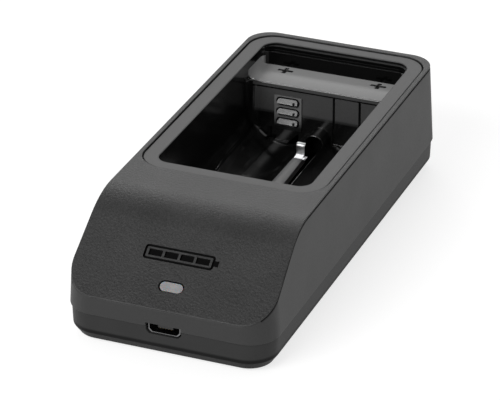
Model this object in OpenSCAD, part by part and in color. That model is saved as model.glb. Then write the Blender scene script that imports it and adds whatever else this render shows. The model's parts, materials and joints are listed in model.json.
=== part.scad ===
// Single-bay desktop battery charger with a micro-USB inlet.
// Millimetres, +Z up. The origin is on the table plane, under the middle of the case.
// The sloping front faces -Y and carries the inlet, the charge light and a battery symbol.

/* [Case] */
// Width of the upper housing at the seam
body_w = 48.8; // [48:0.1:50]
// Length of the upper housing at the seam
body_l = 113.6; // [113:0.1:115]
// Height of the deck above the base, without the feet
body_h = 26.2; // [26:0.1:27]
// Height of the seam between the lower case and the upper housing
seam_z = 6.8; // [6.6:0.1:7]
// Corner radius of the plan at the seam
corner_r = 7.2; // [6.5:0.1:8]
// Lean of the upper walls, in degrees
upper_draft = 3.2; // [2.5:0.1:3.5]
// Thickness of the case walls
wall_t = 1.8; // [1.6:0.1:1.9]
// Thickness of the case floor
floor_t = 1.5; // [1.4:0.1:1.6]

/* [Front slope] */
// Where the flat deck starts to bend down
bend_y = -30.9; // [-32:0.1:-30]
// Radius of the bend between the deck and the slope
bend_r = 17; // [15:0.1:19]
// Angle of the slope below the deck, in degrees
slope_angle = 36.5; // [35:0.1:38]
// Width of the charge-light window
window_w = 5.9; // [5:0.1:7]
// Height of the charge-light window along the slope
window_h = 2.8; // [2.4:0.1:3.2]
// Distance of the window's middle from the slope's lower edge
window_s = 5.7; // [5:0.1:6.5]
// Width of the engraved battery symbol
symbol_w = 17.4; // [12:0.1:18]
// Height of the engraved battery symbol along the slope
symbol_h = 3.5; // [2.4:0.1:3.8]
// Distance of the symbol's middle from the slope's lower edge
symbol_s = 12.9; // [12:0.1:14]

/* [Battery bay] */
// Width of the bay
bay_w = 36.7; // [36:0.1:37]
// Front wall of the bay
bay_front = -18; // [-19:0.1:-17.5]
// Wall that holds the contacts
bay_rear = 38.9; // [38.5:0.1:39.5]
// Height of the axes of the two cell troughs above the base
trough_z = 14.05; // [13.9:0.05:14.3]
// Height of the shelf behind the bay above the base
shelf_z = 21.2; // [21:0.1:21.5]
// Wall thickness of the tray
tray_t = 1.1; // [1:0.1:1.2]
// Width of the visible bezel outline
bezel_w = 44; // [43.8:0.1:44.1]
// Front edge of the bezel
bezel_front = -21.2; // [-21.5:0.1:-21]
// Rear edge of the bezel
bezel_rear = 54; // [53.8:0.1:54.1]

/* [Contacts] */
// Distance between neighbouring contacts
contact_pitch = 2.7; // [2.6:0.05:2.8]
// Side position of the contacts
contact_x = -8.35; // [-8.6:0.05:-8]
// Height of the middle contact above the base
contact_z = 13.95; // [13.8:0.05:14.1]
// How far a contact stands out of the contact plate
contact_proud = 0.8; // [0.6:0.05:0.9]

/* [Retainer] */
// Height of the retainer arm's top above the base
arm_top = 10.3; // [10:0.1:10.6]
// Height of the pivot pin above the base
pivot_z = 5.9; // [5.8:0.05:6]
// Position of the pivot pin along the case
pivot_y = -14.5; // [-15:0.1:-14]

/* [Inlet] */
// Width of the opening for the plug
inlet_w = 8.2; // [8:0.1:8.6]
// Height of the opening for the plug
inlet_h = 2.7; // [2.6:0.05:2.9]
// Height of the inlet's middle above the base
inlet_z = 6.3; // [6.2:0.05:6.4]

/* [Hidden] */
$fn = 64;

foot_h = 0.6;                                   // the feet lift the base off the table
slop = 0.01;                                    // overlap of cutters past a face
upper_h = body_h - seam_z;
upper_in = upper_h * tan(upper_draft);          // how far the walls lean in by deck height
seam_step = 0.35;                               // the lower case is smaller all round
lower_draft = 2.1;
base_chamfer_h = 2;
base_chamfer_in = 1.4;
lower_w = body_w - 2 * seam_step;
lower_l = body_l - 2 * seam_step;
lower_r = corner_r - seam_step;
lower_in = (seam_z - base_chamfer_h) * tan(lower_draft);

bend_z = body_h - bend_r;                       // centre of the bend
lip_t = 0.28;                                   // visible edge of the top cover
cover_t = 1.8;                                  // full thickness of the top cover
cover_gap = 0.42;                               // shadow gap under the cover's edge
gap_front = -54.6;                              // the shadow gap closes in front of this
lip_in = 0.8;                                   // how far the cover's thick part is set in
symbol_depth = 0.4;

bend_end = [bend_y - bend_r * sin(slope_angle), bend_z + bend_r * cos(slope_angle)];
lean = tan(upper_draft);
slope_tan = tan(slope_angle);
front_z = (bend_end[1] - (body_l / 2 + seam_z * lean + bend_end[0]) * slope_tan)
    / (1 - lean * slope_tan);                   // height where the slope meets the front wall
front_y = -body_l / 2 + (front_z - seam_z) * lean;

trough_r = bay_w / 4;
bezel_drop = 0.25;                              // the bezel lies below the deck
flange_t = 1.55;
flange_z = body_h - bezel_drop - flange_t;
bezel_r = 6.4;
bezel_gap = 0.22;
bezel_mid = (bezel_front + bezel_rear) / 2;
bezel_l = bezel_rear - bezel_front;
shelf_rear = 48.05;
ledge_rear = 49.5;                              // first step behind the shelf
ledge_z = 24.6;
opening_rear = 50.9;                            // second step, up to the bezel
mouth_z = 25.5;
mark_x = 11.9;                                  // the plus marks on the shelf
mark_y = 46;
mark_depth = 0.5;
panel_x = [3.3, 9.85];                          // panel lines on the contact wall
panel_low = 7.1;
panel_line = 0.5;
shelf_lip = 0.6;                                // the shelf's edge overhangs the contact wall
shelf_lip_t = 1.1;
shelf_fillet = 1.5;                             // fillets between the shelf and the side walls
slot_half = 2;
cusp_z = 8.3;
slot_start = -16.8;
arch_front = 34.35;                             // mouth of the arch that ends the slot
arch_z = 8.7;
arch_r = 2.45;
skirt_half = 3.2;
skirt_low = 4.2;
pin_r = 0.74;

plate_w = 7.1;
plate_top = 18.05;
plate_bottom = 9.1;
plate_t = 1;
plate_front = bay_rear - 0.3;
plate_back = plate_front + plate_t;
window_slot_w = 6;
window_slot_h = 2.2;
nose_w = 5.2;
nose_h = 1.4;
flange_in = plate_back + 0.05;

board_top = inlet_z - inlet_h / 2 + 0.15;
board_t = 1.2;
board_bottom = board_top - board_t;
board_half = 13.5;
board_front = -53.9;
board_rear = -21.6;
shell_w = 7.5;
shell_h = 2.4;
shell_t = 0.25;
shell_front = -55.9;
shell_depth = 4.8;
led_y = -49.6;
pipe_gap = 0.3;
pipe_sink = 0.25;

// Retainer arm, its steel clip and its compression spring
arm_end = 25.3;
arm_half = 1.6;
arm_tip_half = 1.15;
arm_crown_r = 3.2;
clip_t = 0.3;
clip_foot = 1.9;
clip_x = 0.15;
spring_y = 14;
spring_r = 1.15;
spring_wire = 0.17;
spring_turns = 5;
spring_low = floor_t + 1.4;
spring_high = arm_top - 1.98 - spring_wire - 0.03;
spring_sides = 6;
turn_steps = 12;
spring_steps = turn_steps * spring_turns;

// Screw positions: two under the slope, two under the shelf
front_screws = [[-17.4, -46], [17.4, -46]];
rear_screws = [[-15.4, 48.8], [15.4, 48.8]];
board_screw_spots = [[-11.8, -28.5], [11.8, -28.5]];
boss_low = 3.6;                                 // the screw bosses end above the case pillars
pillar_top = 3.5;
foot_spots = [[-16, -36], [16, -36], [-16, 36], [16, 36]];
foot_r = 4;
screw_r = 1.1;
screw_head_r = 2.1;

// ---------- Shared shapes ----------

module lift() translate([0, 0, foot_h]) children();

module rounded_rect(w, l, r) {
    square([w - 2 * r, l], center = true);
    square([w, l - 2 * r], center = true);
    for (x = [-1, 1], y = [-1, 1])
        translate([x * (w / 2 - r), y * (l / 2 - r)]) circle(r = r);
}

// Stadium with its long side across X
module stadium(w, h) {
    square([w - h, h], center = true);
    for (x = [-1, 1]) translate([x * (w - h) / 2, 0]) circle(d = h);
}

// Rounded block whose four sides lean in by shrink over its height
module leaning_block(w, l, r, h, shrink) {
    rotate([90, 0, 0]) linear_extrude(height = l - 2 * r, center = true)
        polygon([[-w / 2, 0], [w / 2, 0], [w / 2 - shrink, h], [-w / 2 + shrink, h]]);
    rotate([90, 0, 90]) linear_extrude(height = w - 2 * r, center = true)
        polygon([[-l / 2, 0], [l / 2, 0], [l / 2 - shrink, h], [-l / 2 + shrink, h]]);
    for (x = [-1, 1], y = [-1, 1])
        translate([x * (w / 2 - r), y * (l / 2 - r), 0]) cylinder(h = h, r1 = r, r2 = r - shrink);
}

// Upper body from the seam to the deck, made smaller all round by inset
module upper_block(inset) {
    translate([0, 0, seam_z])
        leaning_block(body_w - 2 * inset, body_l - 2 * inset, corner_r - inset, upper_h, upper_in);
}

// Side view of everything below the deck, the bend and the slope, sunk by depth
module below_top_profile(depth) {
    r = bend_r - depth;
    far = body_l;
    end_y = bend_y - r * sin(slope_angle);
    end_z = bend_z + r * cos(slope_angle);
    polygon([
        [-far, -far], [far, -far], [far, body_h - depth], [bend_y, body_h - depth],
        [end_y, end_z], [-far, end_z - (end_y + far) * slope_tan]
    ]);
    intersection() {
        translate([bend_y, bend_z]) circle(r = r);
        polygon([
            [bend_y, bend_z], [bend_y, bend_z + 2 * r],
            [bend_y - 2 * r * sin(slope_angle), bend_z + 2 * r * cos(slope_angle)]
        ]);
    }
}

module below_top(depth) {
    rotate([90, 0, 90]) linear_extrude(height = body_w + 4, center = true)
        below_top_profile(depth);
}

// Local frame on the slope: Y runs up the slope from its lower edge, Z points out
module on_slope(s) {
    translate([0, front_y, front_z]) rotate([slope_angle, 0, 0]) translate([0, s, 0]) children();
}

// Plug opening: wide side up, with the two lower corners cut off
module inlet_outline(w, h, cut) {
    polygon([
        [-w / 2, h / 2], [w / 2, h / 2], [w / 2, -h / 2 + cut],
        [w / 2 - cut, -h / 2], [-w / 2 + cut, -h / 2], [-w / 2, -h / 2 + cut]
    ]);
}

module inlet_cutter(w, h, cut, depth) {
    translate([0, -body_l / 2 - 1, inlet_z]) rotate([-90, 0, 0]) mirror([0, 1, 0])
        linear_extrude(height = depth) inlet_outline(w, h, cut);
}

// Pan-head screw, head down, standing on z = 0 and pointing up
module screw(length, head_r, r) {
    difference() {
        union() {
            cylinder(h = 1.3, r1 = head_r - 0.2, r2 = head_r);
            translate([0, 0, 1.3 - slop]) cylinder(h = length, r = r);
        }
        for (a = [0, 90]) rotate([0, 0, a])
            translate([0, 0, 0.25]) cube([head_r * 1.2, 0.45, 1], center = true);
    }
}

// ---------- Casings ----------

module battery_symbol() {
    bar_count = 4;
    line = 0.55;
    nub_w = 1;
    case_w = symbol_w - nub_w;
    bar_step = (case_w - 3 * line) / bar_count;
    translate([-nub_w / 2, 0]) {
        difference() {
            rounded_rect(case_w, symbol_h, 0.8);
            rounded_rect(case_w - 2 * line, symbol_h - 2 * line, 0.3);
        }
        for (i = [0 : bar_count - 1])
            translate([(i - (bar_count - 1) / 2) * bar_step, 0])
                square([bar_step - line, symbol_h - 3.6 * line], center = true);
    }
    translate([symbol_w / 2 - nub_w, -symbol_h / 5]) square([nub_w, symbol_h * 0.4]);
}

module top_cover() color("#343436") lift() difference() {
    union() {
        intersection() {
            upper_block(0);
            difference() {
                below_top(0);
                below_top(lip_t);
            }
        }
        intersection() {
            upper_block(lip_in);
            difference() {
                below_top(0);
                below_top(cover_t);
            }
        }
    }
    translate([0, bezel_mid, flange_z - 1]) linear_extrude(height = 5)
        rounded_rect(bezel_w + 2 * bezel_gap, bezel_l + 2 * bezel_gap, bezel_r + bezel_gap);
    on_slope(window_s) translate([0, 0, -4]) linear_extrude(height = 8)
        stadium(window_w, window_h);
    on_slope(symbol_s) translate([0, 0, -symbol_depth]) linear_extrude(height = 2) battery_symbol();
}

// Screw pillar joined to the side wall by a web
module housing_boss(spot) {
    side = sign(spot[0]);
    translate([spot[0], spot[1], boss_low]) cylinder(h = 9, r = 2.9);
    translate([spot[0] + side * 2.6, spot[1], 10.45]) cube([5, 1.4, 4.3], center = true);
}

module side_housing() color("#454547") lift() difference() {
    union() {
        difference() {
            intersection() {
                upper_block(0);
                union() {
                    below_top(lip_t + cover_gap);
                    intersection() {
                        below_top(lip_t + 0.03);
                        translate([-body_w / 2, -body_l, 0]) cube([body_w, body_l + gap_front, body_h]);
                    }
                }
            }
            upper_block(wall_t);
            translate([0, 0, seam_z - 1]) linear_extrude(height = 1 + slop)
                rounded_rect(body_w - 2 * wall_t, body_l - 2 * wall_t, corner_r - wall_t);
            difference() {
                upper_block(lip_in - 0.1);
                below_top(cover_t + 0.05);
            }
        }
        for (spot = front_screws) housing_boss(spot);
    }
    for (spot = front_screws) translate([spot[0], spot[1], 3]) cylinder(h = 8, r = screw_r);
    inlet_cutter(inlet_w, inlet_h, 0.8, 6);
}

// Hollow pillar that stands on the case floor
module case_pillar(spot) {
    translate([spot[0], spot[1], floor_t - slop]) cylinder(h = pillar_top - floor_t, r = 3.2);
}

module case_outer() {
    translate([0, 0, base_chamfer_h]) mirror([0, 0, 1]) leaning_block(
        lower_w - 2 * lower_in, lower_l - 2 * lower_in, lower_r - lower_in,
        base_chamfer_h, base_chamfer_in
    );
    translate([0, 0, seam_z]) mirror([0, 0, 1])
        leaning_block(lower_w, lower_l, lower_r, seam_z - base_chamfer_h, lower_in);
}

module bottom_case() color("#2c2c2e") lift() difference() {
    inner_w = lower_w - 2 * wall_t;
    inner_l = lower_l - 2 * wall_t;
    inner_r = lower_r - wall_t;
    rim_w = body_w - 2 * wall_t - 0.3;
    rim_l = body_l - 2 * wall_t - 0.3;
    rim_r = corner_r - wall_t - 0.15;
    rim_t = 0.9;
    union() {
        difference() {
            case_outer();
            translate([0, 0, floor_t]) linear_extrude(height = seam_z) {
                rounded_rect(inner_w - 1, inner_l - 1, inner_r - 0.5);
            }
        }
        // Rim that locates the upper housing
        translate([0, 0, seam_z - 2]) linear_extrude(height = 3.2) difference() {
            rounded_rect(rim_w, rim_l, rim_r);
            rounded_rect(rim_w - 2 * rim_t, rim_l - 2 * rim_t, rim_r - rim_t);
            translate([0, -body_l / 2]) square([34, 16], center = true);
        }
        for (spot = concat(front_screws, rear_screws)) case_pillar(spot);
        for (spot = board_screw_spots)
            translate([spot[0], spot[1], floor_t - slop]) cylinder(h = board_bottom - floor_t, r = 2.2);
        // Seats for the front of the circuit board
        for (x = [-9, 9])
            translate([x - 1.5, -52.6, floor_t - slop]) cube([3, 3, board_bottom - floor_t]);
        // Seat for the retainer's spring
        translate([0, spring_y, floor_t - slop]) cylinder(h = 1.2, r = 2.4);
    }
    for (spot = concat(front_screws, rear_screws)) translate([spot[0], spot[1], -1]) {
        cylinder(h = 6, r = screw_r + 0.15);
        cylinder(h = 3.1, r = screw_head_r + 0.2);
    }
    for (spot = board_screw_spots)
        translate([spot[0], spot[1], floor_t + 0.3]) cylinder(h = 4, r = 0.85);
    for (spot = foot_spots) translate([spot[0], spot[1], -1]) cylinder(h = 1.5, r = foot_r + 0.1);
    translate([0, 0, -1 + 0.2]) linear_extrude(height = 1) rounded_rect(24.4, 40.4, 1.2);
    inlet_cutter(inlet_w, inlet_h, 0.8, 4);
}

// ---------- Battery bay ----------

// Rounded prism between two Y positions
module bay_prism(w, y0, y1, r, z0, z1) {
    translate([0, (y0 + y1) / 2, z0]) linear_extrude(height = z1 - z0)
        rounded_rect(w, y1 - y0, r);
}

// Space of the two cell troughs and the straight walls above them
module bay_space() {
    intersection() {
        bay_prism(bay_w, bay_front, bay_rear, 3, 0, body_h + 2);
        union() {
            translate([-body_w / 2, -body_l / 2, trough_z]) cube([body_w, body_l, body_h]);
            for (x = [-1, 1]) translate([x * trough_r, bay_rear + 1, trough_z])
                rotate([90, 0, 0]) cylinder(h = bay_rear - bay_front + 2, r = trough_r);
        }
    }
}

// Bar along Y with a half-round top
module arched_bar(half, y0, y1, z0, z_axis) {
    translate([-half, y0, z0]) cube([2 * half, y1 - y0, z_axis - z0]);
    translate([0, y1, z_axis]) rotate([90, 0, 0]) cylinder(h = y1 - y0, r = half);
}

// Shelf corner that is left standing: a square with a quarter circle cut from it
module shelf_corner(side) {
    translate([side * bay_w / 2, bay_rear - shelf_lip, shelf_z]) rotate([-90, 0, 0])
        linear_extrude(height = 12) difference() {
            translate([side > 0 ? -shelf_fillet : -1, -shelf_fillet])
                square([shelf_fillet + 1, shelf_fillet]);
            translate([-side * shelf_fillet, -shelf_fillet]) circle(r = shelf_fillet);
        }
}

module plus_mark(x) {
    for (size = [[3.9, 0.95], [1, 3.1]])
        translate([x, mark_y, shelf_z]) cube([size[0], size[1], 2 * mark_depth], center = true);
}

module tray_boss(spot) {
    translate([spot[0], spot[1], boss_low])
        cylinder(h = shelf_z - tray_t - boss_low + slop, r = 2.7);
}

module bay_tray() color("#1b1b1d") lift() difference() {
    tray_w = bay_w + 2 * tray_t;
    union() {
        bay_prism(bezel_w, bezel_front, bezel_rear, bezel_r, flange_z, body_h - bezel_drop);
        bay_prism(tray_w, bay_front - tray_t, opening_rear + tray_t, 4.1,
            shelf_z - tray_t, flange_z + slop);
        bay_prism(tray_w, bay_front - tray_t, bay_rear + tray_t, 2, trough_z, shelf_z);
        for (x = [-1, 1]) translate([x * trough_r, bay_rear + tray_t, trough_z])
            rotate([90, 0, 0])
                cylinder(h = bay_rear - bay_front + 2 * tray_t, r = trough_r + tray_t);
        // Skirt round the retainer's slot
        translate([-skirt_half, bay_front - tray_t, skirt_low])
            cube([2 * skirt_half, bay_rear - bay_front + 2 * tray_t, trough_z - skirt_low]);
        for (spot = rear_screws) tray_boss(spot);
    }
    difference() {
        union() {
            bay_space();
            bay_prism(bay_w, bay_rear - 8, shelf_rear, 2.2, shelf_z, body_h + 2);
            // The cusp between the troughs is cut flat beside the slot
            translate([-slot_half - 0.4, bay_front, cusp_z])
                cube([2 * slot_half + 0.8, bay_rear - bay_front, 8]);
        }
        for (side = [-1, 1]) shelf_corner(side);
        // Overhanging edge of the shelf
        translate([-bay_w / 2 - 1, bay_rear - shelf_lip, shelf_z - shelf_lip_t])
            cube([bay_w + 2, shelf_lip + 1, shelf_lip_t]);
        arched_bar(arch_r, arch_front, bay_rear + 1, 0, arch_z);
    }
    bay_prism(bay_w, bay_front, ledge_rear, 3, ledge_z, body_h + 2);
    bay_prism(bay_w, bay_front, opening_rear, 3.7, mouth_z, body_h + 2);
    translate([-slot_half, slot_start, 0]) cube([2 * slot_half, arch_front - slot_start, trough_z]);
    arched_bar(slot_half, arch_front - slop, bay_rear - 0.6, 0, arch_z);
    // Seat of the contact plate and the recess below it
    translate([contact_x - plate_w / 2, bay_rear - 1, plate_bottom])
        cube([plate_w, tray_t + 2, plate_top - plate_bottom]);
    translate([contact_x - plate_w / 2 - 1, bay_rear - slop, 5.6]) cube([plate_w, 0.8, 3.6]);
    // Panel lines on the contact wall
    for (x = panel_x) translate([x - panel_line / 2, bay_rear - 0.1, panel_low])
        cube([panel_line, panel_line, 12.4]);
    translate([panel_x[0], bay_rear - 0.1, panel_low])
        cube([panel_x[1] - panel_x[0], panel_line, panel_line]);
    for (x = [-mark_x, mark_x]) plus_mark(x);
    for (spot = rear_screws) translate([spot[0], spot[1], 3]) cylinder(h = 9, r = screw_r);
    // Bearing holes of the pivot pin
    translate([0, pivot_y, pivot_z]) rotate([0, 90, 0])
        cylinder(h = 2 * skirt_half + 2 * slop, r = pin_r + 0.01, center = true);
}

// ---------- Contacts ----------

module contact_plate() color("#3a3a3c") lift() difference() {
    translate([contact_x - plate_w / 2 + 0.05, plate_front, plate_bottom + 0.05])
        cube([plate_w - 0.1, plate_t, plate_top - plate_bottom - 0.1]);
    for (i = [-1 : 1]) translate([contact_x, bay_rear + 2, contact_z + i * contact_pitch])
        rotate([90, 0, 0]) linear_extrude(height = 4) stadium(window_slot_w, window_slot_h);
}

// Leaf contact: a slanted nose with a dimple in the window, a flange behind it and a tail
module contact(i) color("#c9ccd0") lift() translate([contact_x, 0, contact_z + i * contact_pitch]) {
    nose_front = plate_front - contact_proud;
    nose_back = flange_in + 0.2;
    half = nose_h / 2;
    dimple_x = 1.7;
    difference() {
        intersection() {
            translate([0, nose_back, 0]) rotate([90, 0, 0])
                linear_extrude(height = nose_back - nose_front) stadium(nose_w, nose_h);
            translate([-nose_w / 2, 0, 0]) rotate([90, 0, 90]) linear_extrude(height = nose_w) polygon([
                [nose_back, half], [plate_front + 0.15, half], [nose_front, -half + 0.45],
                [nose_front + 0.12, -half], [nose_back, -half]
            ]);
        }
        translate([dimple_x, plate_front + 0.1, -0.05]) rotate([90, 0, 0]) cylinder(h = 3, r = 0.3);
    }
    translate([-3.15, flange_in, -1.2]) cube([6.3, 0.3, 2.4]);
    translate([-1.2, flange_in + 0.2, -0.25]) cube([2.4, 2.4, 0.5]);
}

module contact_upper() contact(1);
module contact_middle() contact(0);
module contact_lower() contact(-1);

module contact_carrier() color("#26262a") lift() difference() {
    front = bay_rear + tray_t + 0.02;
    translate([contact_x - 4.6, front, 8.1]) cube([9.2, 2.6, 11]);
    // Room for the flanges and their travel
    translate([contact_x - 3.6, front - 1, contact_z - 4.4]) cube([7.2, 2.2, 8.8]);
    for (i = [-1 : 1]) translate([contact_x - 1.6, front, contact_z + i * contact_pitch - 0.65])
        cube([3.2, 4, 1.3]);
}

module contact_board() color("#1f5a36") lift() difference() {
    translate([contact_x - 5.4, bay_rear + tray_t + 2.65, 5.2]) cube([10.8, 1, 14.2]);
    for (i = [-1 : 1])
        translate([contact_x - 1.5, bay_rear, contact_z + i * contact_pitch - 0.6]) cube([3, 8, 1.2]);
}

// Flat cable from the contact board, under the left trough, to the main board
module ribbon_cable() color("#d8d2c4") lift() {
    cable_t = 0.2;
    run_z = 2.2;
    back_y = bay_rear + tray_t + 4.1;
    front_up = board_rear + 0.9;
    translate([contact_x - 2, 0, 0]) rotate([90, 0, 90]) linear_extrude(height = 4) polygon([
        [back_y, 6], [back_y, run_z], [front_up, run_z], [front_up, board_top + 0.9],
        [board_rear - 1.5, board_top + 0.9], [board_rear - 1.5, board_top + 0.7],
        [front_up - cable_t, board_top + 0.7], [front_up - cable_t, run_z - cable_t],
        [back_y + cable_t, run_z - cable_t], [back_y + cable_t, 6]
    ]);
}

module ribbon_sockets() color("#e6e0d0") lift() {
    difference() {
        translate([contact_x - 3, board_rear - 3.6, board_top]) cube([6, 3.2, 1.5]);
        translate([contact_x - 2.1, board_rear - 1.55, board_top + 0.6]) cube([4.2, 2, 0.4]);
    }
    difference() {
        translate([contact_x - 3, bay_rear + tray_t + 3.65, 5.6]) cube([6, 1.5, 3.2]);
        translate([contact_x - 2.1, bay_rear + tray_t + 4.05, 5]) cube([4.2, 0.3, 1.05]);
    }
}

// ---------- Retainer ----------

// Outline of the arm from above, narrower towards its free end
module arm_plan() {
    polygon([
        [-arm_half, pivot_y], [arm_half, pivot_y], [arm_half, 6],
        [arm_tip_half, arm_end], [-arm_tip_half, arm_end], [-arm_half, 6]
    ]);
}

module retainer_arm() color("#39393b") lift() difference() {
    union() {
        intersection() {
            translate([0, 0, arm_top - 1.9]) linear_extrude(height = 1.9) arm_plan();
            translate([0, arm_end + 1, arm_top - arm_crown_r]) rotate([90, 0, 0])
                cylinder(h = arm_end - pivot_y + 4, r = arm_crown_r);
        }
        translate([-arm_half, pivot_y, pivot_z]) rotate([0, 90, 0])
            cylinder(h = 2 * arm_half, r = 1.5);
        translate([-arm_half, pivot_y - 1.5, pivot_z])
            cube([2 * arm_half, 3, arm_top - 1.2 - pivot_z]);
        // Guide for the spring
        translate([0, spring_y, arm_top - 3]) cylinder(h = 1.4, r = 0.6);
    }
    translate([-3, pivot_y, pivot_z]) rotate([0, 90, 0]) cylinder(h = 6, r = pin_r + 0.06);
    // Step under the steel clip
    translate([-2, arm_end - clip_foot - 0.1, arm_top - clip_t]) cube([4, 4, 1]);
}

module retainer_pin() color("#b9bcc0") lift()
    translate([0, pivot_y, pivot_z]) rotate([0, 90, 0])
        cylinder(h = 2 * skirt_half - 0.1, r = pin_r, center = true);

// Bent steel strip: a foot on the arm that rises to the rear, a finger and a side tab
module retainer_clip() color("#d0d3d6") lift() translate([clip_x, 0, 0]) {
    t = clip_t;
    half = 1;
    rise = 0.3;
    foot_z = arm_top - t;
    foot_front = arm_end - clip_foot;
    finger_y = arm_end - 0.35;
    finger_top = 12.6;
    curl_r = 0.75;
    translate([-half, 0, 0]) rotate([90, 0, 90]) linear_extrude(height = 2 * half) polygon([
        [foot_front, foot_z], [finger_y + t, foot_z], [finger_y + t, finger_top],
        [finger_y, finger_top], [finger_y, foot_z + t + rise], [foot_front, foot_z + t]
    ]);
    // Curled tip of the finger
    translate([-half, finger_y + curl_r, finger_top]) rotate([90, 0, 90])
        linear_extrude(height = 2 * half) difference() {
            circle(r = curl_r);
            circle(r = curl_r - t);
            translate([-2, -4]) square([4, 4]);
            translate([0.2, -1]) square([2, 4]);
        }
    // Dimples pressed out of the tip
    for (x = [-0.62, 0, 0.62]) translate([x, finger_y + 0.12, finger_top + 0.12]) sphere(r = 0.27);
    translate([half - 0.05, arm_end - 1.9, foot_z]) cube([0.85, 1.5, t]);
}

// Compression spring, one swept wire
function spring_point(i, j) =
    let (a = i * 360 / turn_steps, b = j * 360 / spring_sides,
         r = spring_r + spring_wire * cos(b))
    [r * cos(a), spring_y + r * sin(a),
     spring_low + (spring_high - spring_low) * i / spring_steps + spring_wire * sin(b)];

module retainer_spring() color("#a8abae") lift() polyhedron(
    points = [for (i = [0 : spring_steps], j = [0 : spring_sides - 1]) spring_point(i, j)],
    faces = concat(
        [[for (j = [0 : spring_sides - 1]) j]],
        [[for (j = [spring_sides - 1 : -1 : 0]) spring_steps * spring_sides + j]],
        [for (i = [0 : spring_steps - 1], j = [0 : spring_sides - 1])
            let (k = (j + 1) % spring_sides, here = i * spring_sides, next = here + spring_sides)
            [here + j, next + j, next + k, here + k]]
    )
);

// ---------- Light, inlet and circuit board ----------

module light_pipe() color("#b9bcbe") lift() {
    intersection() {
        on_slope(window_s) translate([0, 0, -3.4]) linear_extrude(height = 3.4 - pipe_sink)
            stadium(window_w - 2 * pipe_gap, window_h - 2 * pipe_gap);
        translate([-6, -60, 9]) cube([12, 20, 12]);
    }
    translate([-1.5, led_y - 1, board_top + 1.2]) cube([3, 2, 6.8]);
}

module status_led() color("#f0efe8") lift() {
    difference() {
        translate([-1.4, led_y - 1.2, board_top]) cube([2.8, 2.4, 1]);
        translate([0, led_y, board_top + 0.6]) cylinder(h = 1, r = 0.9);
    }
}

module main_board() color("#1f5a36") lift() difference() {
    translate([-board_half, board_front, board_bottom])
        cube([2 * board_half, board_rear - board_front, board_t]);
    for (spot = board_screw_spots) translate([spot[0], spot[1], 0]) cylinder(h = 9, r = 0.95);
}

module usb_shell() color("#c3c6ca") lift() {
    cut = 0.7;
    shell_mid = board_top + shell_h / 2;
    translate([0, shell_front, shell_mid]) rotate([-90, 0, 0]) mirror([0, 1, 0]) {
        linear_extrude(height = shell_depth) difference() {
            inlet_outline(shell_w, shell_h, cut);
            inlet_outline(shell_w - 2 * shell_t, shell_h - 2 * shell_t, cut);
        }
        translate([0, 0, shell_depth - shell_t]) linear_extrude(height = shell_t)
            inlet_outline(shell_w - 0.1, shell_h - 0.1, cut);
    }
}

module usb_tongue() color("#151517") lift() {
    tongue_z = board_top + 1.05;
    back = shell_front + shell_depth - shell_t;
    translate([-1.8, shell_front + 0.7, tongue_z]) cube([3.6, back - shell_front - 0.7, 0.6]);
    translate([-2.6, back - 1.2, board_top + shell_t + 0.1]) cube([5.2, 1.2, 1.6]);
}

module usb_contacts() color("#d9b45a") lift()
    for (i = [-2 : 2])
        translate([i * 0.65 - 0.15, shell_front + 0.8, board_top + 0.95]) cube([0.3, 2.6, 0.1]);

module charge_chip() color("#202022") lift() {
    translate([2, -38, board_top]) cube([4, 4, 0.9]);
}

module power_inductor() color("#3c3c3c") lift() difference() {
    translate([-7, -39.5, board_top]) cube([5, 5, 2.4]);
    translate([-4.5, -37, board_top + 2.1]) cylinder(h = 1, r = 1.7);
}

module chip_row(x, y, count, step, size) {
    for (i = [0 : count - 1]) translate([x, y + i * step, board_top]) cube(size);
}

module capacitors() color("#b08d57") lift() {
    chip_row(8, -38, 3, 2.4, [2, 1.25, 1.1]);
    chip_row(-10.5, -38, 3, 2.4, [2, 1.25, 1.1]);
    translate([-1.6, -31, board_top]) cube([3.2, 1.6, 1.5]);
}

module resistors() color("#2f2f33") lift() {
    chip_row(2, -46, 3, 1.6, [1.6, 0.8, 0.45]);
    chip_row(-5, -46, 3, 1.6, [1.6, 0.8, 0.45]);
    chip_row(3, -31, 2, 1.6, [1.6, 0.8, 0.45]);
}

// ---------- Fasteners, feet and label ----------

module board_screws() color("#c8c9cc") lift()
    for (spot = board_screw_spots) translate([spot[0], spot[1], board_top + 1.32])
        mirror([0, 0, 1]) screw(3.2, 1.6, 0.82);

module case_screws() color("#8d8f93") lift()
    for (spot = concat(front_screws, rear_screws)) translate([spot[0], spot[1], 0.75])
        screw(7.5, screw_head_r, screw_r - 0.02);

module rubber_feet() color("#101011")
    for (spot = foot_spots) translate([spot[0], spot[1], 0]) rotate_extrude() polygon([
        [0, 0], [foot_r - 0.3, 0], [foot_r, 0.3], [foot_r, foot_h + 0.48], [0, foot_h + 0.48]
    ]);

module rating_label() color("#c9c9c6")
    translate([0, 0, foot_h + 0.08]) linear_extrude(height = 0.12) rounded_rect(24, 40, 1);

top_cover();
side_housing();
bottom_case();
bay_tray();
contact_plate();
contact_carrier();
contact_upper();
contact_middle();
contact_lower();
contact_board();
ribbon_cable();
retainer_arm();
retainer_clip();
retainer_pin();
retainer_spring();
light_pipe();
main_board();
usb_shell();
usb_tongue();
usb_contacts();
status_led();
charge_chip();
power_inductor();
capacitors();
resistors();
ribbon_sockets();
board_screws();
case_screws();
rubber_feet();
rating_label();
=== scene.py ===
"""Single-bay battery charger with a micro-USB inlet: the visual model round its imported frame."""

import functools
import json
import math

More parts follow.
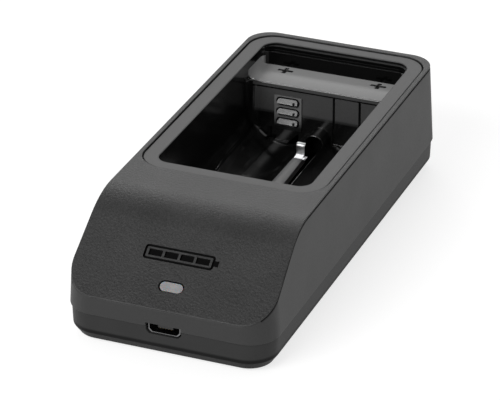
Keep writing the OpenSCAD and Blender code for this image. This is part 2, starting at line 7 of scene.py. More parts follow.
import bmesh
import bpy
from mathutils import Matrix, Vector

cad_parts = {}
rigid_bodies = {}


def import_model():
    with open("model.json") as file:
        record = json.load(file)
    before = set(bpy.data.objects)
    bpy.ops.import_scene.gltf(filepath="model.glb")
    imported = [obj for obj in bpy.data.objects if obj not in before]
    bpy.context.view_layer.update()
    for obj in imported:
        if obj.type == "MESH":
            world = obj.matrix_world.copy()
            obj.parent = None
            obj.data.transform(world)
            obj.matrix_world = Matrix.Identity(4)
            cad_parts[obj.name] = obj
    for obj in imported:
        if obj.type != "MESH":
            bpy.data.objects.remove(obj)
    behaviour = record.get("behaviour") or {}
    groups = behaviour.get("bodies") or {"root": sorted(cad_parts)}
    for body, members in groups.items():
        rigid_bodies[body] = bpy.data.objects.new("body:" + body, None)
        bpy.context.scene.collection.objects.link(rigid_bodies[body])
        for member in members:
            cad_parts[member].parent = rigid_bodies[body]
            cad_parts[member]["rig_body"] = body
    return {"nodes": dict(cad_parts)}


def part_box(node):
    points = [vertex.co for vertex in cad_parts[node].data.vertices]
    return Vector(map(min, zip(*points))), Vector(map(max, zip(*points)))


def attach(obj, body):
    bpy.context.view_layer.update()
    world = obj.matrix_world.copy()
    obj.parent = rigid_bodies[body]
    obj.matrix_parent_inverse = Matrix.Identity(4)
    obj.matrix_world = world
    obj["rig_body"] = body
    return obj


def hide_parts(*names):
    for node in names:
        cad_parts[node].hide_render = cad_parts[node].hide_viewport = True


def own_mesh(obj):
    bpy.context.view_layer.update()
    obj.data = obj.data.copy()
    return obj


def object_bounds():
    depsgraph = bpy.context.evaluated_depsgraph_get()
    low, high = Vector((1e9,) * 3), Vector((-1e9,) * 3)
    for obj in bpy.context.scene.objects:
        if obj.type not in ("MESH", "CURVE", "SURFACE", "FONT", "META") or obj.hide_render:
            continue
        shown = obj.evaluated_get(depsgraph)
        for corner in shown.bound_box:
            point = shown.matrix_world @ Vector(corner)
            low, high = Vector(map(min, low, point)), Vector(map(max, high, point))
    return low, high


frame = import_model()
NODES = frame["nodes"]
CAD_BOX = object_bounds()

MM = 0.001
SLOPE_TILT = math.radians(36.5)

# Places on the bay tray, in millimetres
BEZEL_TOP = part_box("bay_tray")[1].z / MM
SHELF_TOP = 21.8
CELL_AXIS = 14.65
PLATE_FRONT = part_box("contact_plate")[0].y / MM
BAY_REAR = PLATE_FRONT + 0.3
LIP_FRONT = BAY_REAR - 0.6
ARCH_FRONT = 34.35
STEPS_FRONT = PLATE_FRONT + 9.3

# ---------- Shader building ----------


class Finish:
    """A Principled material under construction, textured in the frame's own coordinates."""

    def __init__(self, name, **sockets):
        self.material = bpy.data.materials.new(name)
        self.material.use_nodes = True
        self.tree = self.material.node_tree
        self.surface = self.tree.nodes["Principled BSDF"]
        for socket, value in sockets.items():
            self.surface.inputs[socket.replace("_", " ")].default_value = value
        self.place = self.node("ShaderNodeTexCoord").outputs["Object"]

    def node(self, kind, **settings):
        made = self.tree.nodes.new(kind)
        for name, value in settings.items():
            setattr(made, name, value)
        return made

    def link(self, source, target):
        self.tree.links.new(source, target)

    def scaled(self, stretch):
        """Coordinates stretched along each axis."""
        mapping = self.node("ShaderNodeMapping")
        mapping.inputs["Scale"].default_value = stretch
        self.link(self.place, mapping.inputs["Vector"])
        return mapping.outputs["Vector"]

    def noise(self, size, detail=2.0, roughness=0.5, stretch=(1, 1, 1)):
        """Noise with features of that size in millimetres."""
        texture = self.node("ShaderNodeTexNoise")
        texture.inputs["Scale"].default_value = 1 / (size * MM)
        texture.inputs["Detail"].default_value = detail
        texture.inputs["Roughness"].default_value = roughness
        self.link(self.scaled(stretch), texture.inputs["Vector"])
        return texture.outputs["Fac"]

    def cells(self, size, randomness=1.0):
        """Distance to the nearest cell centre, with cells of that size in millimetres."""
        texture = self.node("ShaderNodeTexVoronoi")
        texture.inputs["Scale"].default_value = 1 / (size * MM)
        texture.inputs["Randomness"].default_value = randomness
        self.link(self.place, texture.inputs["Vector"])
        return texture.outputs["Distance"]

    def maths(self, operation, first, second=0.0, third=0.0):
        made = self.node("ShaderNodeMath", operation=operation)
        for value, socket in zip((first, second, third), made.inputs):
            if isinstance(value, (int, float)):
                socket.default_value = value
            else:
                self.link(value, socket)
        return made.outputs["Value"]

    def spread(self, value, low, high, start=0.0, end=1.0):
        """value from start to end becomes low to high, held at both ends."""
        made = self.node("ShaderNodeMapRange")
        self.link(value, made.inputs["Value"])
        made.inputs["From Min"].default_value = start
        made.inputs["From Max"].default_value = end
        for socket, limit in (("To Min", low), ("To Max", high)):
            if isinstance(limit, (int, float)):
                made.inputs[socket].default_value = limit
            else:
                self.link(limit, made.inputs[socket])
        return made.outputs["Result"]

    def mix(self, share, first, second):
        """Colour mix; first and second are colours or colour outputs."""
        made = self.node("ShaderNodeMix", data_type="RGBA")
        self.link(share, made.inputs["Factor"])
        for value, index in ((first, 6), (second, 7)):
            if isinstance(value, tuple):
                made.inputs[index].default_value = value
            else:
                self.link(value, made.inputs[index])
        return made.outputs[2]

    def axes(self):
        parts = self.node("ShaderNodeSeparateXYZ")
        self.link(self.place, parts.inputs["Vector"])
        return parts.outputs

    def along(self, direction):
        """Position along a direction, in metres."""
        made = self.node("ShaderNodeVectorMath", operation="DOT_PRODUCT")
        self.link(self.place, made.inputs[0])
        made.inputs[1].default_value = direction
        return made.outputs["Value"]

    def bump(self, height, relief, strength=1.0, under=None):
        """Relief in millimetres for a height from 0 to 1."""
        made = self.node("ShaderNodeBump")
        if isinstance(strength, (int, float)):
            made.inputs["Strength"].default_value = strength
        else:
            self.link(strength, made.inputs["Strength"])
        made.inputs["Distance"].default_value = relief * MM
        self.link(height, made.inputs["Height"])
        if under is not None:
            self.link(under, made.inputs["Normal"])
        return made.outputs["Normal"]

    def wear(self, colour=None, roughness=None, normal=None):
        """Connects what was built to the surface."""
        for output, socket in ((colour, "Base Color"), (roughness, "Roughness"), (normal, "Normal")):
            if output is not None:
                self.link(output, self.surface.inputs[socket])
        return self.material


def grey(level, tint=(1.0, 1.0, 1.0)):
    return (level * tint[0], level * tint[1], level * tint[2], 1.0)


def shade(colour, factor):
    return (colour[0] * factor, colour[1] * factor, colour[2] * factor, 1.0)


# ---------- Finishes ----------


def moulded(name, colour, roughness, grain=0.45, relief=0.03, variation=0.08, specular=0.5):
    """Injection-moulded plastic with a spark-eroded grain."""
    f = Finish(name, Specular_IOR_Level=specular)
    cloud = f.noise(11, detail=3)
    fine = f.noise(grain, detail=2, roughness=0.6)
    pits = f.cells(grain * 1.7)
    texture = f.maths("MULTIPLY_ADD", pits, 0.5, fine)
    blend = f.maths("MULTIPLY_ADD", fine, 0.6, f.maths("MULTIPLY", cloud, 0.4))
    dark, light = shade(colour, 1 - variation), shade(colour, 1 + variation)
    tint = f.mix(f.spread(blend, 0, 1, 0.3, 0.7), dark, light)
    rough = f.spread(blend, roughness - 0.05, roughness + 0.05, 0.3, 0.7)
    return f.wear(tint, rough, f.bump(texture, relief, 0.6))


def engraved_cover(name):
    """Grained cover, painted darker down the slope as painted shade, whose engraved battery symbol is
    painted near black as painted shade in its recess.
    """
    f = Finish(name)
    outward = Vector((0, -math.sin(SLOPE_TILT), math.cos(SLOPE_TILT)))
    uphill = Vector((0, math.cos(SLOPE_TILT), math.sin(SLOPE_TILT)))
    surface = max(outward.dot(corner.co) for corner in NODES["top_cover"].data.vertices)
    low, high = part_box("light_pipe")
    window = uphill.dot((low + high) / 2)
    symbol_low, symbol_high = window + 3.5 * MM, window + 12 * MM
    slope_shade_low, slope_shade_high = window - 9 * MM, window + 18 * MM
    sunk = f.maths("LESS_THAN", f.along(outward), surface - 0.12 * MM)
    above_window = f.maths("GREATER_THAN", f.along(uphill), symbol_low)
    below_bend = f.maths("LESS_THAN", f.along(uphill), symbol_high)
    engraved = f.maths("MULTIPLY", sunk, f.maths("MULTIPLY", above_window, below_bend))
    cloud = f.noise(11, detail=3)
    fine = f.noise(0.34, detail=2, roughness=0.7)
    pits = f.cells(0.6)
    blend = f.maths("MULTIPLY_ADD", fine, 0.7, f.maths("MULTIPLY", cloud, 0.3))
    grain = f.spread(blend, 0, 1, 0.36, 0.64)
    # Painted shade: the lower and upper tones darken the slope towards its foot.
    lower = f.mix(grain, grey(0.009), grey(0.027))
    upper = f.mix(grain, grey(0.014), grey(0.037))
    plastic = f.mix(f.spread(f.along(uphill), 0, 1, slope_shade_low, slope_shade_high), lower, upper)
    # Painted shade: the engraved recess is painted near black.
    tint = f.mix(engraved, plastic, grey(0.002))
    f.link(f.spread(engraved, 0.42, 0.12), f.surface.inputs["Specular IOR Level"])
    rough = f.spread(engraved, f.spread(fine, 0.4, 0.52, 0.3, 0.7), 0.2)
    relief = f.maths("MULTIPLY_ADD", pits, 0.5, fine)
    share = f.spread(engraved, 0.75, 0.1)
    return f.wear(tint, rough, f.bump(relief, 0.09, share))


def shaded_base(name):
    """Lower case, painted darker towards the table as painted shade."""
    f = Finish(name, Specular_IOR_Level=0.12)
    _, _, z = f.axes()
    cloud = f.noise(11, detail=3)
    fine = f.noise(0.4, detail=3, roughness=0.6)
    shade_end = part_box("side_housing")[0].z - 0.5 * MM
    upper = f.mix(f.spread(cloud, 0, 1, 0.3, 0.7), grey(0.024), grey(0.028))
    lower = f.mix(f.spread(cloud, 0, 1, 0.3, 0.7), grey(0.003), grey(0.004))
    # Painted shade: darker from the seam down to the table.
    tint = f.mix(f.spread(z, 0, 1, 3.2 * MM, shade_end), lower, upper)
    rough = f.spread(fine, 0.46, 0.56, 0.3, 0.7)
    return f.wear(tint, rough, f.bump(fine, 0.015, 0.5))


def tray_zones(f):
    """Masks for the bezel, the shelf, its lip, the contact wall band that gets painted light and the steps
    behind the shelf that get painted shade.

    The last two outputs are the place across the shelf's depth, used for painted light on the shelf, and
    how far a face looks up.
    """
    _, y, z = f.axes()
    facing = f.node("ShaderNodeSeparateXYZ")
    f.link(f.node("ShaderNodeNewGeometry").outputs["True Normal"], facing.inputs["Vector"])
    both = functools.partial(f.maths, "MULTIPLY")

    bezel = f.spread(z, 0, 1, (BEZEL_TOP - 0.22) * MM, (BEZEL_TOP - 0.12) * MM)
    behind = f.maths("GREATER_THAN", y, (PLATE_FRONT - 0.5) * MM)
    shelf_heights = f.maths("COMPARE", z, (SHELF_TOP + 1.1) * MM, 1.35 * MM)
    not_upright = f.spread(facing.outputs["Y"], 0, 1, -0.8, -0.5)
    shelf = both(shelf_heights, both(not_upright, behind))
    lip = both(shelf, f.maths("LESS_THAN", y, (PLATE_FRONT + 0.25) * MM))

    # Band of contact wall that gets painted light, above the cell axis and below the shelf.
    upright = f.spread(facing.outputs["Y"], 1, 0, -0.95, -0.8)
    above_axis = f.spread(z, 0, 1, (CELL_AXIS - 1.2) * MM, CELL_AXIS * MM)
    below_shelf = f.maths("LESS_THAN", z, SHELF_TOP * MM)
    flush = f.maths("LESS_THAN", y, (PLATE_FRONT + 0.4) * MM)
    # Painted shadow: a line under the shelf lip stays out of the lit band, so it stays dark.
    painted_lip_shadow = f.maths("COMPARE", z, (SHELF_TOP - 1.4) * MM, 0.3 * MM)
    painted_light_band = both(both(both(above_axis, below_shelf), flush), f.maths("SUBTRACT", 1, painted_lip_shadow))
    wall = both(painted_light_band, both(upright, behind))

    # Steps behind the shelf, where painted shade goes.
    steps = f.maths("GREATER_THAN", y, STEPS_FRONT * MM)
    # Across the shelf's depth, for the painted light that lifts its rear.
    depth = f.spread(y, 0, 1, PLATE_FRONT * MM, STEPS_FRONT * MM)
    return bezel, shelf, lip, wall, steps, depth, facing.outputs["Z"]


def two_finish_tray(name):
    """Matte bezel, shelf and upper contact wall, polished black inside the bay. Painted light lifts the
    upper contact wall band and the shelf; painted shade darkens the steps behind the shelf.
    """
    f = Finish(name)
    bezel, shelf, lip, wall, steps, depth, upward = tray_zones(f)
    matte = f.maths("MAXIMUM", bezel, shelf)
    cloud = f.noise(9, detail=3)
    fine = f.noise(0.4, detail=3, roughness=0.6)
    swirl = f.noise(3.5, detail=2)
    grain = f.spread(fine, 0, 1, 0.3, 0.7)
    polished = f.mix(f.spread(cloud, 0, 1, 0.3, 0.7), grey(0.004), grey(0.006))
    # Painted shade: the steps behind the shelf are painted near black.
    colour = f.mix(steps, polished, grey(0.0015))
    # Painted light: the upper contact wall band is painted mid grey.
    colour = f.mix(wall, colour, f.mix(grain, grey(0.062), grey(0.074)))
    colour = f.mix(bezel, colour, f.mix(grain, grey(0.065), grey(0.082)))
    # Painted light: the shelf is much lighter than the bezel's matte grey, the more so towards its rear.
    colour = f.mix(shelf, colour, f.mix(depth, grey(0.21), grey(0.37)))
    rough_matte = f.spread(fine, 0.5, 0.62, 0.3, 0.7)
    rough_polished = f.spread(swirl, 0.13, 0.19, 0.3, 0.7)
    rough = f.spread(matte, f.spread(wall, rough_polished, 0.34), rough_matte)
    rough = f.spread(lip, rough, 0.15)
    gloss = f.spread(steps, f.spread(upward, 0.35, 0.9, 0.2, 0.5), 0.08)
    f.link(f.spread(matte, gloss, 0.5), f.surface.inputs["Specular IOR Level"])
    grain_share = f.spread(lip, f.spread(matte, 0.05, 0.6), 0.05)
    waves = f.bump(swirl, 0.02, 0.25)
    return f.wear(colour, rough, f.bump(fine, 0.03, grain_share, waves))


def shaded_insert(name):
    """Contact insert, grey at its windows and painted nearly black below them as painted shade."""
    f = Finish(name, Specular_IOR_Level=0.3)
    _, _, z = f.axes()
    lowest = sum(corner.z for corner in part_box("contact_lower")) / 2
    painted_shade_low, painted_shade_high = lowest - 1.2 * MM, lowest + 1.5 * MM
    fine = f.noise(0.35, detail=2, roughness=0.6)
    upper = f.mix(f.spread(fine, 0, 1, 0.3, 0.7), grey(0.15), grey(0.18))
    # Painted shade: nearly black below the lowest contact, grey above.
    tint = f.mix(f.spread(z, 0, 1, painted_shade_low, painted_shade_high), grey(0.004), upper)
    rough = f.spread(fine, 0.42, 0.54, 0.3, 0.7)
    return f.wear(tint, rough, f.bump(fine, 0.015, 0.4))


def metal(name, colour, roughness, brush=(1, 12, 12), grain=0.8):
    """Drawn or stamped metal with a faint brushed grain."""
    f = Finish(name, Metallic=1.0)
    lines = f.noise(grain, detail=4, roughness=0.65, stretch=brush)
    stain = f.noise(2.5, detail=2)
    tint = f.mix(f.spread(stain, 0, 1, 0.3, 0.7), shade(colour, 0.9), colour)
    rough = f.spread(lines, roughness - 0.07, roughness + 0.08, 0.3, 0.7)
    return f.wear(tint, rough, f.bump(lines, 0.006, 0.5))


def laminate(name):
    """Green solder mask over copper tracks."""
    f = Finish(name, Specular_IOR_Level=0.5)
    tracks = f.node("ShaderNodeTexBrick", offset=0.37, squash=0.6, squash_frequency=3)
    tracks.inputs["Scale"].default_value = 1 / (4.2 * MM)
    tracks.inputs["Mortar Size"].default_value = 0.045
    tracks.inputs["Mortar Smooth"].default_value = 0.2
    f.link(f.place, tracks.inputs["Vector"])
    weave = f.noise(0.3, detail=2)
    dark, light = grey(0.03, (0.35, 1.9, 0.8)), grey(0.036, (0.4, 2.1, 0.9))
    mask = f.mix(f.spread(weave, 0, 1, 0.3, 0.7), dark, light)
    copper = grey(0.09, (0.6, 1.9, 0.7))
    height = f.maths("ADD", tracks.outputs["Fac"], f.maths("MULTIPLY", weave, 0.2))
    rough = f.spread(weave, 0.28, 0.4, 0.3, 0.7)
    return f.wear(f.mix(tracks.outputs["Fac"], mask, copper), rough, f.bump(height, 0.03, 0.6))


def lens(name):
    """Milky light pipe behind the window."""
    f = Finish(name, Subsurface_Weight=0.35, Subsurface_Scale=0.0012, Specular_IOR_Level=0.5)
    cloud = f.noise(1.6, detail=2)
    tint = f.mix(f.spread(cloud, 0, 1, 0.3, 0.7), grey(0.27, (0.98, 1.0, 1.02)), grey(0.31))
    rough = f.spread(cloud, 0.3, 0.42, 0.3, 0.7)
    return f.wear(tint, rough, f.bump(f.noise(0.25, detail=2), 0.006, 0.4))


def rubber(name):
    """Non-slip feet with a dimpled face."""
    f = Finish(name, Specular_IOR_Level=0.35)
    dimples = f.cells(0.9, randomness=0.1)
    dust = f.noise(2.2, detail=4)
    tint = f.mix(f.spread(dust, 0, 1, 0.4, 0.75), grey(0.012), grey(0.03))
    rough = f.spread(dust, 0.7, 0.88, 0.3, 0.7)
    return f.wear(tint, rough, f.bump(dimples, 0.12, 0.7))


def film(name):
    """Plain satin label with a printed frame line."""
    f = Finish(name, Specular_IOR_Level=0.5)
    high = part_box("rating_label")[1]
    x, y, _ = f.axes()
    inset = 1.3 * MM
    line = 0.14 * MM
    side = f.maths("SUBTRACT", high.x - inset, f.maths("ABSOLUTE", x))
    end = f.maths("SUBTRACT", high.y - inset, f.maths("ABSOLUTE", y))
    nearest = f.maths("MINIMUM", side, end)
    frame_line = f.maths("LESS_THAN", f.maths("ABSOLUTE", nearest), line)
    fibre = f.noise(0.5, detail=3)
    paper = f.mix(f.spread(fibre, 0, 1, 0.3, 0.7), grey(0.50), grey(0.56))
    rough = f.spread(fibre, 0.38, 0.5, 0.3, 0.7)
    return f.wear(f.mix(frame_line, paper, grey(0.05)), rough, f.bump(fibre, 0.01, 0.4))


def striped_film(name):
    """Flat cable: bright conductors under clear film."""
    f = Finish(name, Specular_IOR_Level=0.5)
    x, _, _ = f.axes()
    pitch = 0.5 * MM
    wave = f.maths("SINE", f.maths("MULTIPLY", x, 2 * math.pi / pitch))
    stripe = f.spread(wave, 0, 1, -0.2, 0.2)
    haze = f.noise(1.5, detail=3)
    dark, light = grey(0.62, (1, 0.97, 0.88)), grey(0.7, (1, 0.98, 0.92))
    base = f.mix(f.spread(haze, 0, 1, 0.3, 0.7), dark, light)
    tint = f.mix(stripe, base, grey(0.42, (1, 0.93, 0.8)))
    rough = f.spread(haze, 0.3, 0.42, 0.3, 0.7)
    return f.wear(tint, rough, f.bump(stripe, 0.02, 0.5))


def speckled(name, colour, roughness, speck=0.25, depth=0.25):
    """Fired ceramic, ferrite or moulded component body."""
    f = Finish(name, Specular_IOR_Level=0.5)
    grains = f.noise(speck, detail=3, roughness=0.7)
    dark, light = shade(colour, 1 - depth), shade(colour, 1 + depth)
    tint = f.mix(f.spread(grains, 0, 1, 0.35, 0.65), dark, light)
    rough = f.spread(grains, roughness - 0.06, roughness + 0.06, 0.3, 0.7)
    return f.wear(tint, rough, f.bump(grains, 0.015, 0.5))


STEEL = grey(0.62, (1.0, 1.0, 1.01))
FINISHES = {
    "cover_plastic": engraved_cover,
    "housing_plastic": lambda n: moulded(n, grey(0.03), 0.5, grain=0.4, relief=0.015, specular=0.22),
    "base_plastic": shaded_base,
    "tray_plastic": two_finish_tray,
    "arm_plastic": lambda n: moulded(n, grey(0.1), 0.5, grain=0.4, relief=0.02),
    "carrier_plastic": lambda n: moulded(n, grey(0.02), 0.45),
    "contact_plate_plastic": shaded_insert,
    "tongue_plastic": lambda n: moulded(n, grey(0.01), 0.35, grain=0.3, relief=0.01),
    "socket_plastic": lambda n: moulded(n, grey(0.62, (1, 0.96, 0.86)), 0.45, relief=0.01),
    "led_plastic": lambda n: moulded(n, grey(0.75, (1, 0.99, 0.93)), 0.35, relief=0.01),
    "chip_plastic": lambda n: moulded(n, grey(0.018), 0.5, grain=0.25, relief=0.015),
    "contact_metal": lambda n: metal(n, grey(0.24), 0.3, brush=(1, 9, 9)),
    "clip_steel": lambda n: metal(n, STEEL, 0.3, brush=(9, 1, 9)),
    "pin_steel": lambda n: metal(n, STEEL, 0.22),
    "spring_steel": lambda n: metal(n, shade(STEEL, 0.85), 0.25, brush=(1, 1, 1)),
    "screw_steel": lambda n: metal(n, shade(STEEL, 0.8), 0.32, brush=(1, 1, 1)),
    # Painted shade: the USB shell's steel is darkened to stand for the shade in its recess.
    "shell_metal": lambda n: metal(n, shade(STEEL, 0.3), 0.26, brush=(12, 1, 12)),
    "gold_plate": lambda n: metal(n, grey(0.16, (1.0, 0.72, 0.3)), 0.3, brush=(12, 1, 12)),
    "board_laminate": laminate,
    "light_lens": lens,
    "foot_rubber": rubber,
    "label_film": film,
    "ribbon_film": striped_film,
    "capacitor_ceramic": lambda n: speckled(n, grey(0.3, (1.0, 0.75, 0.45)), 0.5),
    "ferrite": lambda n: speckled(n, grey(0.05), 0.6, speck=0.4),
    "resistor_body": lambda n: speckled(n, grey(0.025), 0.4),
}
MATERIALS = {slot: make("finish_" + slot) for slot, make in FINISHES.items()}
SLOT_OF = {node: piece.data.materials[0].name.split(".")[0] for node, piece in NODES.items()}

# ---------- Pieces ----------

X, Y, Z = 0, 1, 2
FLAT_ANGLE = math.radians(0.4)


def dress(piece, node):
    """Gives a piece the finish of a CAD node's material slot."""
    piece.data.materials.clear()
    piece.data.materials.append(MATERIALS[SLOT_OF[node]])


def stand_in(piece, node):
    """The piece takes the CAD node's place, body and finish."""
    dress(piece, node)
    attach(piece, NODES[node]["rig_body"])
    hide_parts(node)
    return piece


def link_new(name, mesh):
    piece = bpy.data.objects.new(name, mesh)
    bpy.context.scene.collection.objects.link(piece)
    return piece


def even_normals(piece):
    shading = piece.modifiers.new("normals", "WEIGHTED_NORMAL")
    shading.keep_sharp = True


def middle_of(edge):
    """Middle of an edge, in millimetres."""
    return (edge.verts[0].co + edge.verts[1].co) / (2 * MM)


def split_flats(shape, cuts):
    """Cuts the mesh on planes, so that no flat face keeps a hole.

    Each cut is an axis and a place along it, in millimetres.
    """
    for axis, place in cuts:
        normal = Vector((0, 0, 0))
        normal[axis] = 1
        parts = shape.verts[:] + shape.edges[:] + shape.faces[:]
        bmesh.ops.bisect_plane(shape, geom=parts, dist=1e-7, plane_co=normal * place * MM, plane_no=normal)


def on_a_cut(edge, cuts):
    return any(
        all(abs(corner.co[axis] - place * MM) < 1e-6 for corner in edge.verts)
        for axis, place in cuts
    )


def radiused(name, node, radius_at, cuts):
    """The CAD node's shape with moulded radii on its edges.

    radius_at(centre) is an edge's radius in millimetres. 0 leaves the edge as it is.
    """
    crease = math.radians(25)
    shape = bmesh.new()
    shape.from_mesh(NODES[node].data)
    bmesh.ops.remove_doubles(shape, verts=shape.verts, dist=1e-6)
    split_flats(shape, cuts)
    rounded = [edge for edge in shape.edges if radius_at(middle_of(edge)) > 0]
    loose = [edge for edge in rounded if not on_a_cut(edge, cuts)]
    corners = list({corner for edge in loose for corner in edge.verts})
    bmesh.ops.dissolve_limit(shape, angle_limit=FLAT_ANGLE, verts=corners, edges=loose)
    weight = shape.edges.layers.float.new("bevel_weight_edge")
    sharp = [edge for edge in shape.edges if edge.calc_face_angle(0.0) > crease]
    radii = {edge: radius_at(middle_of(edge)) for edge in sharp}
    largest = max(radii.values())
    for face in shape.faces:
        face.smooth = True
    for edge, radius in radii.items():
        edge[weight] = radius / largest
        edge.smooth = radius > 0
    mesh = bpy.data.meshes.new(name)
    shape.to_mesh(mesh)
    shape.free()
    piece = link_new(name, mesh)
    rounding = piece.modifiers.new("radii", "BEVEL")
    rounding.limit_method = "WEIGHT"
    rounding.width = largest * MM
    rounding.segments = 3
    rounding.use_clamp_overlap = False
    rounding.miter_outer = "MITER_ARC"
    even_normals(piece)
    return stand_in(piece, node)


def soften(node, radius):
    """Rounds the edges of a CAD node that stays, with modifiers only."""
    piece = NODES[node]
    dress(piece, node)
    weld = piece.modifiers.new("weld", "WELD")
    weld.merge_threshold = 1e-6
    flats = piece.modifiers.new("flats", "DECIMATE")
    flats.decimate_type = "DISSOLVE"
    flats.angle_limit = FLAT_ANGLE
    rounding = piece.modifiers.new("radii", "BEVEL")
    rounding.limit_method = "ANGLE"
    rounding.angle_limit = math.radians(28)
    rounding.width = radius * MM
    rounding.segments = 2
    even_normals(piece)


def cover_radius(centre):
    """The engraved symbol stays sharp."""
    engraved = abs(centre.x) < 9 and -49 < centre.y < -42 and centre.z < 24
    return 0 if engraved else 0.12


def housing_radius(centre):
    """The outer edge at the seam is rounder than the rest."""
    corner = CAD_BOX[1] / MM
    outside = abs(centre.x) > corner.x - 0.2 or abs(centre.y) > corner.y - 0.2
    seam_top = 7.6
    return 0.3 if outside and centre.z < seam_top else 0.15


def base_radius(centre):
    """The rim at the seam is rounder than the rest."""
    rim_low = 7.2
    return 0.2 if centre.z > rim_low else 0.15


def tray_radius(centre):
    """Bezel, troughs at the contact wall, shelf lip and arch have radii of their own."""
    beside = abs(centre.x)
    if centre.z > BEZEL_TOP - 0.15:
        return 0.3
    at_wall = BAY_REAR - 0.2 < centre.y < BAY_REAR + 0.1
    in_trough = centre.z < CELL_AXIS + 0.15 and beside > 3.4
    at_plate = -12.6 <= centre.x <= -4
    panel_line = 3 < centre.x < 10.2 and centre.z > 7.65
    if at_wall and in_trough and not at_plate and not panel_line:
        return 0.9
    at_lip = LIP_FRONT - 0.2 < centre.y < LIP_FRONT + 0.4
    if at_lip and SHELF_TOP - 0.3 < centre.z < SHELF_TOP + 1.6 and beside < 15.5:
        return 0.35
    at_arch = ARCH_FRONT - 0.15 < centre.y < ARCH_FRONT + 0.15
    if at_arch and beside < 2.6 and centre.z > 8.4:
        return 0.3
    return 0.1


# Planes through each piece's openings
COVER_CUTS = [(X, 0), (Y, 16.4)]
HOUSING_CUTS = [(X, 0), (Y, 0)]
BASE_CUTS = [(X, -16.4), (X, 0), (X, 16.4), (Y, 0)]
TRAY_CUTS = [(X, -8.35), (X, 0), (X, 6.575), (Y, 10), (Z, 9)]

radiused("cover_shell", "top_cover", cover_radius, COVER_CUTS)
radiused("housing_shell", "side_housing", housing_radius, HOUSING_CUTS)
radiused("base_shell", "bottom_case", base_radius, BASE_CUTS)
radiused("tray_shell", "bay_tray", tray_radius, TRAY_CUTS)

# Edge radii of the CAD nodes that stay, in millimetres
SOFTENED = {
    "contact_plate": 0.12, "contact_carrier": 0.15, "contact_upper": 0.07, "contact_middle": 0.07,
    "contact_lower": 0.07, "contact_board": 0.05, "ribbon_cable": 0.04, "retainer_arm": 0.12,
    "retainer_clip": 0.05, "retainer_pin": 0.1, "light_pipe": 0.2, "main_board": 0.06,
    "usb_shell": 0.06, "usb_tongue": 0.06, "usb_contacts": 0.02, "status_led": 0.1,
    "charge_chip": 0.1, "power_inductor": 0.2, "capacitors": 0.08, "resistors": 0.06,
    "ribbon_sockets": 0.1, "board_screws": 0.06, "case_screws": 0.08, "rubber_feet": 0.08,
    "rating_label": 0.02,
}
for node_name, edge_radius in SOFTENED.items():
    soften(node_name, edge_radius)


def coil_spring(name, node, turns=6, wire=0.17, sides=12, steps=28):
    """Compression spring with closed end turns, in the room its CAD node holds."""
    low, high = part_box(node)
    middle = (low + high) / 2
    coil = (high.x - low.x) / 2 - wire * MM
    bottom = low.z + wire * MM
    rise = high.z - low.z - 2 * wire * MM
    count = turns * steps
    shape = bmesh.new()
    rings = []
    for i in range(count + 1):
        share = i / count
        height = bottom + rise * (3 * share * share - 2 * share ** 3)
        turn = 2 * math.pi * turns * share
        out = Vector((math.cos(turn), math.sin(turn), 0))
        spot = Vector((middle.x, middle.y, height)) + out * coil
        ring = []
        for j in range(sides):
            angle = 2 * math.pi * j / sides
            offset = out * math.cos(angle) + Vector((0, 0, math.sin(angle)))
            ring.append(shape.verts.new(spot + offset * wire * MM))
        rings.append(ring)
    for near, far in zip(rings, rings[1:]):
        for j in range(sides):
            k = (j + 1) % sides
            shape.faces.new((near[j], near[k], far[k], far[j])).smooth = True
    shape.faces.new(rings[0][::-1])
    shape.faces.new(rings[-1])
    bmesh.ops.recalc_face_normals(shape, faces=shape.faces)
    mesh = bpy.data.meshes.new(name)
    shape.to_mesh(mesh)
    shape.free()
    return stand_in(link_new(name, mesh), node)


spring = coil_spring("spring_wire", "retainer_spring")
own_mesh(spring)

# ---------- Floor, light and camera ----------


def add_floor():
    """Pale sweep that glows enough to stay white."""
    shape = bmesh.new()
    bmesh.ops.create_grid(shape, x_segments=8, y_segments=8, size=4)
    mesh = bpy.data.meshes.new("floor")
    shape.to_mesh(mesh)
    shape.free()
    floor = link_new("floor", mesh)
    f = Finish("floor_white", Roughness=0.9, Specular_IOR_Level=0.1, Emission_Strength=1.0)
    haze = f.noise(400, detail=1)
    tint = f.mix(f.spread(haze, 0, 1, 0.3, 0.7), grey(0.4), grey(0.42))
    glow = f.mix(f.spread(haze, 0, 1, 0.3, 0.7), grey(0.72), grey(0.74))
    f.link(glow, f.surface.inputs["Emission Color"])
    floor.data.materials.append(f.wear(tint))


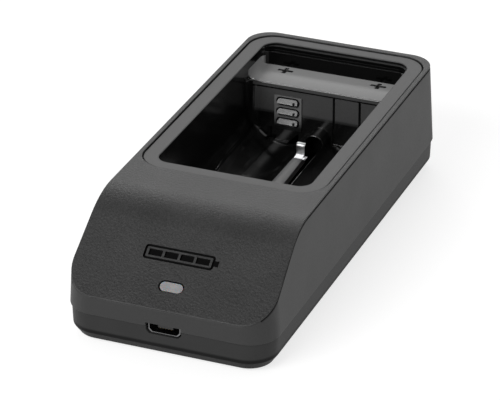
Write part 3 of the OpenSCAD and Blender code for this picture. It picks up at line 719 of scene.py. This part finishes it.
def softbox(name, place, size, power):
    """Rectangular lamp aimed at the charger."""
    aim = Vector((0, 0, 0.02))
    lamp = bpy.data.lights.new(name, "AREA")
    lamp.shape = "RECTANGLE"
    lamp.size, lamp.size_y = size
    lamp.energy = power
    holder = bpy.data.objects.new(name, lamp)
    holder.location = place
    holder.rotation_mode = "QUATERNION"
    holder.rotation_quaternion = (aim - Vector(place)).to_track_quat("-Z", "Y")
    bpy.context.scene.collection.objects.link(holder)


def add_surroundings(horizon, zenith):
    """Pale studio walls that darken overhead."""
    world = bpy.data.worlds.new("studio")
    world.use_nodes = True
    bpy.context.scene.world = world
    tree = world.node_tree
    background = tree.nodes["Background"]
    place = tree.nodes.new("ShaderNodeTexCoord")
    parts = tree.nodes.new("ShaderNodeSeparateXYZ")
    ramp = tree.nodes.new("ShaderNodeValToRGB")
    ramp.color_ramp.elements[0].color = grey(horizon)
    ramp.color_ramp.elements[1].color = grey(zenith)
    tree.links.new(place.outputs["Generated"], parts.inputs["Vector"])
    tree.links.new(parts.outputs["Z"], ramp.inputs["Fac"])
    tree.links.new(ramp.outputs["Color"], background.inputs["Color"])


def add_camera():
    """Long lens from the front right, above the charger."""
    azimuth, elevation = math.radians(21.703), math.radians(27.223)
    aim = Vector((0, 0, 16.51)) * MM
    distance = 695.2 * MM
    back = Vector((
        math.sin(azimuth) * math.cos(elevation),
        -math.cos(azimuth) * math.cos(elevation),
        math.sin(elevation),
    ))
    camera = bpy.data.objects.new("camera", bpy.data.cameras.new("camera"))
    camera.location = aim + back * distance
    camera.rotation_mode = "QUATERNION"
    camera.rotation_quaternion = (-back).to_track_quat("-Z", "Y")
    camera.data.sensor_width = 36
    camera.data.lens = 219.16
    camera.data.shift_x = -0.0213
    camera.data.shift_y = -0.0415
    camera.data.clip_start = 0.01
    bpy.context.scene.collection.objects.link(camera)
    bpy.context.scene.camera = camera


add_floor()
add_surroundings(horizon=0.9, zenith=0.2)
softbox("rear_box", (-0.3, 0.85, 0.7), (0.8, 0.2), 3)
softbox("front_box", (-0.35, -0.9, 0.75), (0.7, 0.5), 8)
add_camera()
bpy.context.scene.view_settings.view_transform = "Standard"
